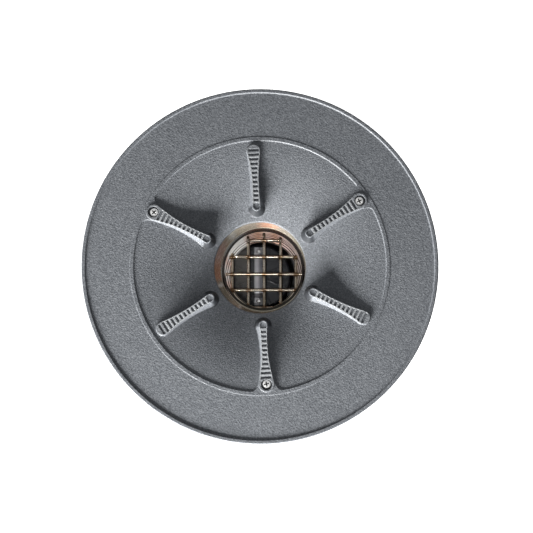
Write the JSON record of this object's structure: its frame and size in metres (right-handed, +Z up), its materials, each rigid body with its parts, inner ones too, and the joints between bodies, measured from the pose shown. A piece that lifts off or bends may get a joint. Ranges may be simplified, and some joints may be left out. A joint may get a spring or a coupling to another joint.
{
  "type": "floor drain grate",
  "caption": "Round floor drain with a ribbed dish plate, a metal throat funnel, a lift-out mesh strainer basket and a bell trap over a vertical outlet.",
  "frame": {"origin": "centre of the anchor-hole circle on the underside of the anchor flange, on the plate's axis", "axes": "+Z up along the drain's axis, out of the floor; +X right and +Y away from the viewer in the picture"},
  "size_m": [0.35, 0.35, 0.1848],
  "materials": {
    "grey_moulding": "fine leather grain",
    "body_moulding": "moulded, satin",
    "trap_moulding": "moulded, smooth",
    "bronze_steel": "polished, bronze tinted",
    "wire_steel": "polished wire, heat tinted at the welds",
    "strap_steel": "bright strip",
    "screw_steel": "plated",
    "seal_rubber": "matt",
    "insert_brass": "knurled",
    "nut_moulding": "moulded",
    "pipe_plastic": "extruded, satin"
  },
  "bodies": {
    "drain": {"dish_plate": "grey_moulding", "cover_screws": "screw_steel", "screw_washers": "seal_rubber", "threaded_inserts": "insert_brass", "drain_body": "body_moulding", "anchor_flange": "body_moulding", "membrane_gasket": "seal_rubber", "clamp_ring": "nut_moulding", "clamp_bolts": "screw_steel", "clamp_washers": "screw_steel", "plate_gasket": "seal_rubber", "funnel_seal": "seal_rubber", "throat_funnel": "bronze_steel", "outlet_pipe": "pipe_plastic", "outlet_gasket": "seal_rubber", "lock_washer": "nut_moulding", "lock_nut": "nut_moulding"},
    "basket": {"basket_shell": "bronze_steel", "grid_cross_wires": "wire_steel", "grid_long_wires": "wire_steel"},
    "trap": {"trap_bell": "trap_moulding", "bell_handle": "strap_steel", "handle_rivets": "screw_steel"}
  },
  "joints": [
    {"name": "basket_lift", "type": "slide", "parent": "drain", "child": "basket", "axis": [0, 0, 1], "range_m": [0, 0.075]},
    {"name": "bell_lift", "type": "slide", "parent": "drain", "child": "trap", "axis": [0, 0, 1], "range_m": [0, 0.075]}
  ],
  "couplings": [
    {"joint": "bell_lift", "follows": "basket_lift", "ratio": 1}
  ]
}
